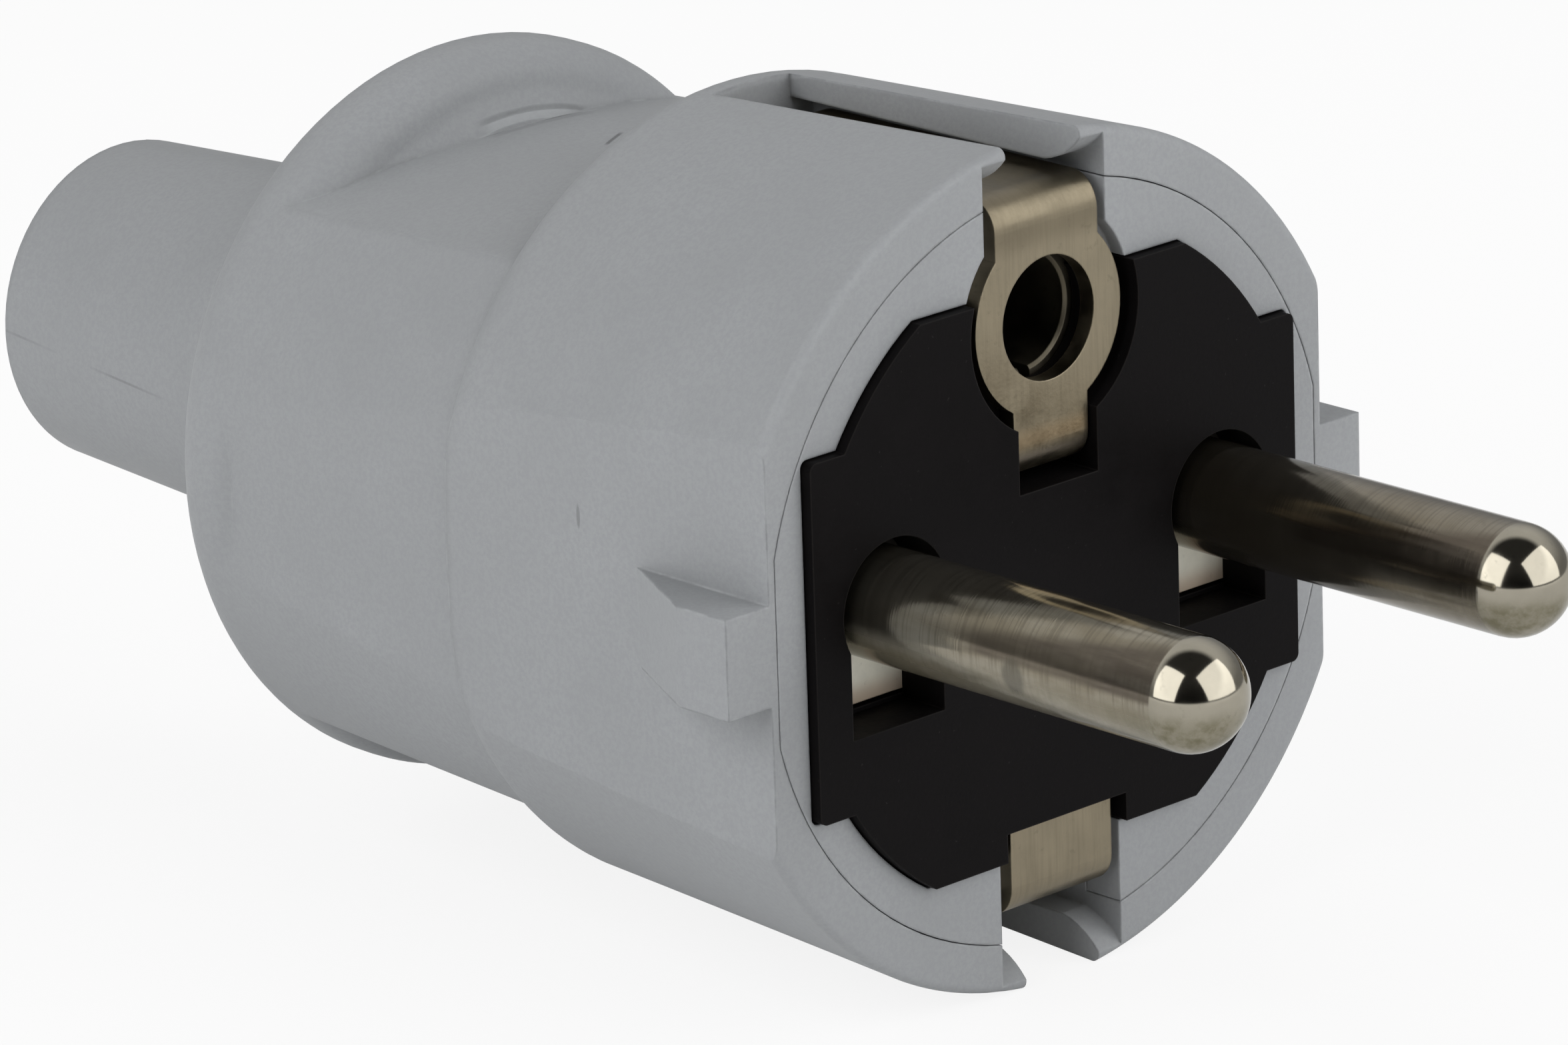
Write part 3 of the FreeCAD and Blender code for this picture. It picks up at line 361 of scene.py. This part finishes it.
def grey_relief(tree, place, axes):
    """Crisp edges in front and softer ones behind, with the neck's ridge, sink marks, grain and scratches."""
    edges = soft_edge(tree, FRONT_EDGE_RADIUS)
    radius = step(tree, axes["Y"], 16.5 * MM, 19 * MM, FRONT_EDGE_RADIUS, REAR_EDGE_RADIUS)
    link(tree, radius, edges.node.inputs["Radius"])
    raised = bump(tree, neck_ridge(tree, axes, RIDGE_Y), 0.3 * MM, 0.9, edges)
    sink = bump(tree, noise(tree, place, 130, 2, 0.4), 0.06 * MM, 0.35, raised)
    grain = bump(tree, noise(tree, place, 4600, 3, 0.65), 0.014 * MM, 0.9, sink)
    scratch = streaks(tree, place, (900, 70, 900), 0.006)
    scratch = times(tree, scratch, step(tree, noise(tree, place, 200, 2, 0.5), 0.52, 0.62))
    return bump(tree, scratch, 0.008 * MM, -0.5, grain)


def make_grey_plastic():
    material, tree, shader = new_material("grey_plastic")
    place = object_coordinates(tree)
    axes = split(tree, place)
    cloud = noise(tree, place, 160, 5, 0.6)
    link(tree, grey_colour(tree, place, axes, cloud), shader.inputs["Base Color"])
    link(tree, step(tree, cloud, 0.3, 0.7, 0.46, 0.56), shader.inputs["Roughness"])
    link(tree, grey_relief(tree, place, axes), shader.inputs["Normal"])
    shader.inputs["IOR"].default_value = 1.46
    shader.inputs["Specular IOR Level"].default_value = 0.35
    return material


def make_black_plastic():
    material, tree, shader = new_material("black_plastic")
    place = object_coordinates(tree)
    cloud = noise(tree, place, 420, 5, 0.65)
    colour = ramp(tree, cloud, [(0.3, tint(BLACK, 0.75)), (0.7, tint(BLACK, 1.3))])
    dust = step(tree, noise(tree, place, 3800, 2, 0.5), 0.69, 0.8, 0.0, 0.5)
    colour = mixed(tree, dust, colour, BLACK_DUST)
    # Painted highlight on the insert's edges.
    colour = mixed(tree, times(tree, edge_mask(tree, 0.1 * MM), 0.35), colour, BLACK_EDGE_HIGHLIGHT)
    link(tree, colour, shader.inputs["Base Color"])
    link(tree, step(tree, cloud, 0.3, 0.7, 0.5, 0.62), shader.inputs["Roughness"])
    shader.inputs["Specular IOR Level"].default_value = 0.06
    grain = bump(tree, noise(tree, place, 4200, 3, 0.6), 0.02 * MM, 0.5, soft_edge(tree, 0.09 * MM))
    link(tree, grain, shader.inputs["Normal"])
    return material


def metal_base(name, base, roughness, spread):
    """Metal with cloudy colour and roughness. Returns material, tree, shader and coordinates."""
    material, tree, shader = new_material(name)
    place = object_coordinates(tree)
    shader.inputs["Metallic"].default_value = 1.0
    cloud = noise(tree, place, 620, 5, 0.65)
    colour = ramp(tree, cloud, [(0.32, tint(base, 1 - spread)), (0.68, tint(base, 1 + spread))])
    tarnish = step(tree, noise(tree, place, 1900, 3, 0.6), 0.6, 0.75, 0.0, 0.35)
    colour = mixed(tree, tarnish, colour, tint(base, 0.55))
    link(tree, colour, shader.inputs["Base Color"])
    link(tree, step(tree, cloud, 0.3, 0.7, roughness * 0.8, roughness * 1.25), shader.inputs["Roughness"])
    return material, tree, shader, place


def pin_across(tree, axes):
    """Distance to the right of the axis of the pin that a point is on."""
    side = math_node(tree, "SIGN", axes["X"])
    return math_node(tree, "SUBTRACT", axes["X"], times(tree, side, PIN_X))


def pin_normal(tree, axes, across):
    """Exact normal of the two round pins: a cylinder along Y with a half ball at its tip."""
    ahead = math_node(tree, "MINIMUM", math_node(tree, "SUBTRACT", axes["Y"], TIP_Y), 0.0)
    joined = node(tree, "ShaderNodeCombineXYZ")
    for name, value in (("X", across), ("Y", ahead), ("Z", axes["Z"])):
        link(tree, value, joined.inputs[name])
    unit = node(tree, "ShaderNodeVectorMath", operation="NORMALIZE")
    link(tree, joined.outputs[0], unit.inputs[0])
    return unit.outputs["Vector"]


def painted_reflection_band(tree, place, axes, across):
    """Painted dark reflection: a streaked band along the left side of a shank, on its upper side, wider towards
    the tip.
    """
    streak = stretched_noise(tree, place, (1500, 160, 1500), 4, 0.65)
    over = math_node(tree, "MULTIPLY_ADD", axes["Y"], 0.115, axes["Z"])
    return times(tree, step(tree, axes["Z"], 0.0, 0.3 * MM), fade(tree, over, 0.0, 0.5 * MM),
                 fade(tree, across, 0.0, 0.8 * MM), fade(tree, axes["Y"], -7.5 * MM, -5.5 * MM),
                 step(tree, streak, 0.3, 0.7, 0.55, 1.0))


def make_pin_metal():
    """Nickel on a turned pin: rings and tarnish on the shank, a painted dark reflection along its upper left
    side, a dull underside darkened partly by tarnish and partly as painted shade of the floor's reflection, the
    far pin's shank painted darker as shade, and a polished tip.
    """
    material, tree, shader, place = metal_base("pin_metal", PIN_NICKEL, 0.10, 0.06)
    axes = split(tree, place)
    across = pin_across(tree, axes)
    shank = step(tree, axes["Y"], TIP_Y - 0.08 * MM, TIP_Y + 0.04 * MM)
    far_pin = (-1 * MM, 1 * MM)
    dull_end = fade(tree, axes["Y"], -12.5 * MM, -9.5 * MM)
    below = times(tree, fade(tree, axes["Z"], -0.9 * MM, 0.1 * MM),
                  math_node(tree, "MAXIMUM", fade(tree, axes["X"], *far_pin), dull_end))
    turning = stretched_noise(tree, place, (30, 6500, 30), 3, 0.7)

    tarnish = stretched_noise(tree, place, (420, 110, 420), 4, 0.6)
    tarnish = times(tree, step(tree, tarnish, 0.38, 0.66, 0.1, 0.75), shank)
    colour = mixed(tree, tarnish, linked(shader, "Base Color"), PIN_TARNISH)
    # Painted dark reflection along the upper left side of the shank.
    colour = mixed(tree, times(tree, painted_reflection_band(tree, place, axes, across), shank), colour, PIN_PAINTED_REFLECTION)
    # Mottled underside, strongest at the tip: partly tarnish, partly painted shade of the floor's reflection.
    underside_tarnish_and_shade = times(tree, below, step(tree, noise(tree, place, 1300, 4, 0.65), 0.35, 0.65, 0.45, 1.0),
                  step(tree, axes["Y"], TIP_Y, TIP_Y + 4 * MM, 1.0, 0.45))
    colour = mixed(tree, underside_tarnish_and_shade, colour, PIN_UNDERSIDE_TARNISH_AND_SHADE)
    # The far pin's shank is painted darker as shade.
    colour = mixed(tree, times(tree, step(tree, axes["X"], *far_pin, 0.0, 0.4), shank), colour, PIN_FAR_PAINTED_SHADE)
    colour = mixed(tree, times(tree, blot(tree, place, STAIN_CENTRE, STAIN_SIZE), 0.6), colour, PIN_STAIN)
    rings = times(tree, step(tree, turning, 0.46, 0.64, 0.0, 0.4), shank,
                  step(tree, axes["Z"], -0.6 * MM, 0.2 * MM, 0.3, 1.0))
    link(tree, mixed(tree, rings, colour, PIN_RINGS), shader.inputs["Base Color"])

    rough = math_node(tree, "MULTIPLY_ADD", shank, 0.05, linked(shader, "Roughness"))
    link(tree, rough, shader.inputs["Roughness"])
    oxide = times(tree, math_node(tree, "MULTIPLY_ADD", below, 0.35, 0.05), shank)
    link(tree, math_node(tree, "SUBTRACT", 1.0, oxide), shader.inputs["Metallic"])
    turned = bump(tree, times(tree, turning, shank), 0.02 * MM, 0.15, pin_normal(tree, axes, across))
    link(tree, turned, shader.inputs["Normal"])
    return material


def make_sleeve_metal():
    """Dull plating inside the earth sleeve, its colour painted dark as the shade of the hole."""
    material, tree, shader, place = metal_base("shaded_socket_metal", SLEEVE_NICKEL_SHADED, 0.42, 0.1)
    drawn = stretched_noise(tree, place, (200, 5000, 200), 2, 0.5)
    link(tree, bump(tree, drawn, 0.008 * MM, 0.4, soft_edge(tree, 0.08 * MM)), shader.inputs["Normal"])
    return material


def make_terminal_metal():
    """Pale plating on the sawn terminal blocks, browner along the lower edge, with a painted shadow of the pin
    darkening the top.
    """
    material, tree, shader, place = metal_base("terminal_metal", TERMINAL_NICKEL, 0.4, 0.07)
    shader.inputs["Metallic"].default_value = 0.2
    height = split(tree, place)["Z"]
    low_edge = step(tree, height, -4.6 * MM, -3.6 * MM, 0.7, 0.0)
    colour = mixed(tree, low_edge, linked(shader, "Base Color"), TERMINAL_LOW_EDGE)
    # Painted shadow of the pin over the top of the block.
    colour = mixed(tree, step(tree, height, -0.2 * MM, 0.8 * MM), colour, TERMINAL_TOP_PAINTED_SHADOW)
    link(tree, colour, shader.inputs["Base Color"])
    sawn = stretched_noise(tree, place, (6000, 300, 400), 2, 0.5)
    link(tree, bump(tree, sawn, 0.008 * MM, 0.4, soft_edge(tree, 0.1 * MM)), shader.inputs["Normal"])
    return material


def make_strap_metal():
    """Satin nickel on pressed, brushed sheet, with a painted dark reflection and a painted warm highlight on
    the tail below the ring, and painted shade towards the top near the groove.
    """
    material, tree, shader, place = metal_base("strap_metal", STRAP_NICKEL, 0.36, 0.07)
    axes = split(tree, place)
    front = fade(tree, axes["Y"], 1.6 * MM, 2 * MM)
    # Painted dark reflection across the tail, with a painted warm highlight above it.
    painted_dark_reflection = between(tree, axes["Z"], (3.8 * MM, 4.2 * MM), (4.3 * MM, 4.8 * MM))
    painted_warm_highlight = between(tree, axes["Z"], (4.5 * MM, 5 * MM), (5.1 * MM, 5.8 * MM))
    # Painted shade, darker towards the top of the strap near the groove.
    painted_groove_shade = step(tree, axes["Z"], 12.8 * MM, 13.8 * MM, 0.0, 0.5)
    brushed = stretched_noise(tree, place, (5200, 260, 260), 3, 0.6)
    brushed = step(tree, brushed, 0.4, 0.68, 0.0, 0.2)
    colour = mixed(tree, brushed, linked(shader, "Base Color"), STRAP_BRUSHED)
    colour = mixed(tree, times(tree, painted_dark_reflection, front, 0.75), colour, STRAP_PAINTED_REFLECTION)
    colour = mixed(tree, times(tree, painted_warm_highlight, front, 0.5), colour, STRAP_PAINTED_HIGHLIGHT)
    link(tree, mixed(tree, painted_groove_shade, colour, STRAP_TOP_PAINTED_SHADE), shader.inputs["Base Color"])
    grain = bump(tree, noise(tree, place, 5000, 3, 0.7), 0.012 * MM, 0.6, soft_edge(tree, 0.08 * MM))
    drawn = stretched_noise(tree, place, (7000, 120, 120), 2, 0.5)
    link(tree, bump(tree, drawn, 0.004 * MM, 0.3, grain), shader.inputs["Normal"])
    return material


def make_brass():
    material, tree, shader, place = metal_base("brass", BRASS, 0.3, 0.08)
    sawn = stretched_noise(tree, place, (300, 6000, 300), 2, 0.5)
    link(tree, bump(tree, sawn, 0.01 * MM, 0.4, soft_edge(tree, 0.08 * MM)), shader.inputs["Normal"])
    return material


def make_steel():
    material, tree, shader, place = metal_base("steel", STEEL, 0.26, 0.06)
    grain = noise(tree, place, 3400, 3, 0.6)
    link(tree, bump(tree, grain, 0.01 * MM, 0.4, soft_edge(tree, 0.08 * MM)), shader.inputs["Normal"])
    return material


def dress_nodes():
    """Give every node the finish that the record names for it, or its own where it looks different."""
    finishes = {
        "grey_plastic": make_grey_plastic(),
        "black_plastic": make_black_plastic(),
        "plated_metal": make_strap_metal(),
        "brass": make_brass(),
        "steel": make_steel(),
    }
    pin_metal = make_pin_metal()
    terminal_metal = make_terminal_metal()
    own_finishes = {
        "pin_left": pin_metal,
        "pin_right": pin_metal,
        "pin_terminal_left": terminal_metal,
        "pin_terminal_right": terminal_metal,
        "earth_socket": make_sleeve_metal(),
    }
    for part in frame["record"]["subparts"]:
        shown = nodes[part["node"]]
        shown.data.materials.clear()
        shown.data.materials.append(own_finishes.get(part["node"], finishes[part["material_slot"]]))


def add_lights():
    """Two large softboxes that stand on the floor, one to each side of the camera."""
    for name, (turn, width, power) in SOFTBOXES.items():
        toward = camera_axes(CAMERA_AZIMUTH + turn, SOFTBOX_ELEVATION, 0)[2]
        data = bpy.data.lights.new(name, "AREA")
        data.shape = "RECTANGLE"
        data.size, data.size_y = width, SOFTBOX_HEIGHT
        data.energy = power
        lamp = bpy.data.objects.new(name, data)
        lamp.location = LIT_POINT + toward * SOFTBOX_DISTANCE
        lamp.rotation_euler = (LIT_POINT - lamp.location).to_track_quat("-Z", "Y").to_euler()
        bpy.context.collection.objects.link(lamp)


def set_world():
    """Studio room: dark in front and over the camera, brighter above and behind the part, white in view."""
    world = bpy.data.worlds.new("studio")
    bpy.context.scene.world = world
    world.use_nodes = True
    tree = world.node_tree
    tree.nodes.clear()
    toward = node(tree, "ShaderNodeTexCoord").outputs["Generated"]
    facing = node(tree, "ShaderNodeVectorMath", operation="DOT_PRODUCT")
    link(tree, toward, facing.inputs[0])
    facing.inputs[1].default_value = camera_axes(CAMERA_AZIMUTH, ROOM_GAP_ELEVATION, 0)[2]
    gap = step(tree, facing.outputs["Value"], 0.4, 0.62, 1.0, ROOM_GAP)
    level = times(tree, step(tree, split(tree, toward)["Z"], 0.1, 0.75, ROOM_LOW, ROOM_HIGH), gap)
    seen = node(tree, "ShaderNodeLightPath").outputs["Is Camera Ray"]
    unseen = math_node(tree, "SUBTRACT", 1.0, seen)
    strength = math_node(tree, "MULTIPLY_ADD", seen, ROOM_SEEN, times(tree, level, unseen))
    room = node(tree, "ShaderNodeBackground", Color=(1, 1, 1, 1))
    link(tree, strength, room.inputs["Strength"])
    output = node(tree, "ShaderNodeOutputWorld")
    link(tree, room.outputs[0], output.inputs["Surface"])


def add_floor():
    """Pale paper. What looks at it straight or by reflection sees it nearer to white, with the shadow kept."""
    bpy.ops.mesh.primitive_plane_add(size=FLOOR_SIZE, location=(0, 0.02, cad_box[0][2]))
    floor = bpy.context.object
    floor.name = "floor"
    material, tree, shader = new_material("floor")
    place = object_coordinates(tree)
    paper = ramp(tree, noise(tree, place, 60, 3, 0.5), [(0.3, (0.945,) * 3), (0.7, (0.955,) * 3)])
    link(tree, paper, shader.inputs["Base Color"])
    shader.inputs["Roughness"].default_value = 0.9
    shader.inputs["Specular IOR Level"].default_value = 0.1
    path = node(tree, "ShaderNodeLightPath").outputs
    straight = math_node(tree, "MAXIMUM", path["Is Camera Ray"], path["Is Transmission Ray"])
    mirrored = times(tree, path["Is Glossy Ray"], FLOOR_WHITE_MIRRORED)
    share = math_node(tree, "MULTIPLY_ADD", straight, FLOOR_WHITE_SEEN, mirrored)
    white = node(tree, "ShaderNodeEmission", Color=(1, 1, 1, 1), Strength=1.0)
    blend = node(tree, "ShaderNodeMixShader")
    link(tree, share, blend.inputs[0])
    link(tree, shader.outputs[0], blend.inputs[1])
    link(tree, white.outputs[0], blend.inputs[2])
    link(tree, blend.outputs[0], tree.nodes["Material Output"].inputs["Surface"])
    floor.data.materials.append(material)


bpy.context.scene.view_settings.view_transform = "Standard"
add_camera()
dress_nodes()
add_lights()
set_world()
add_floor()
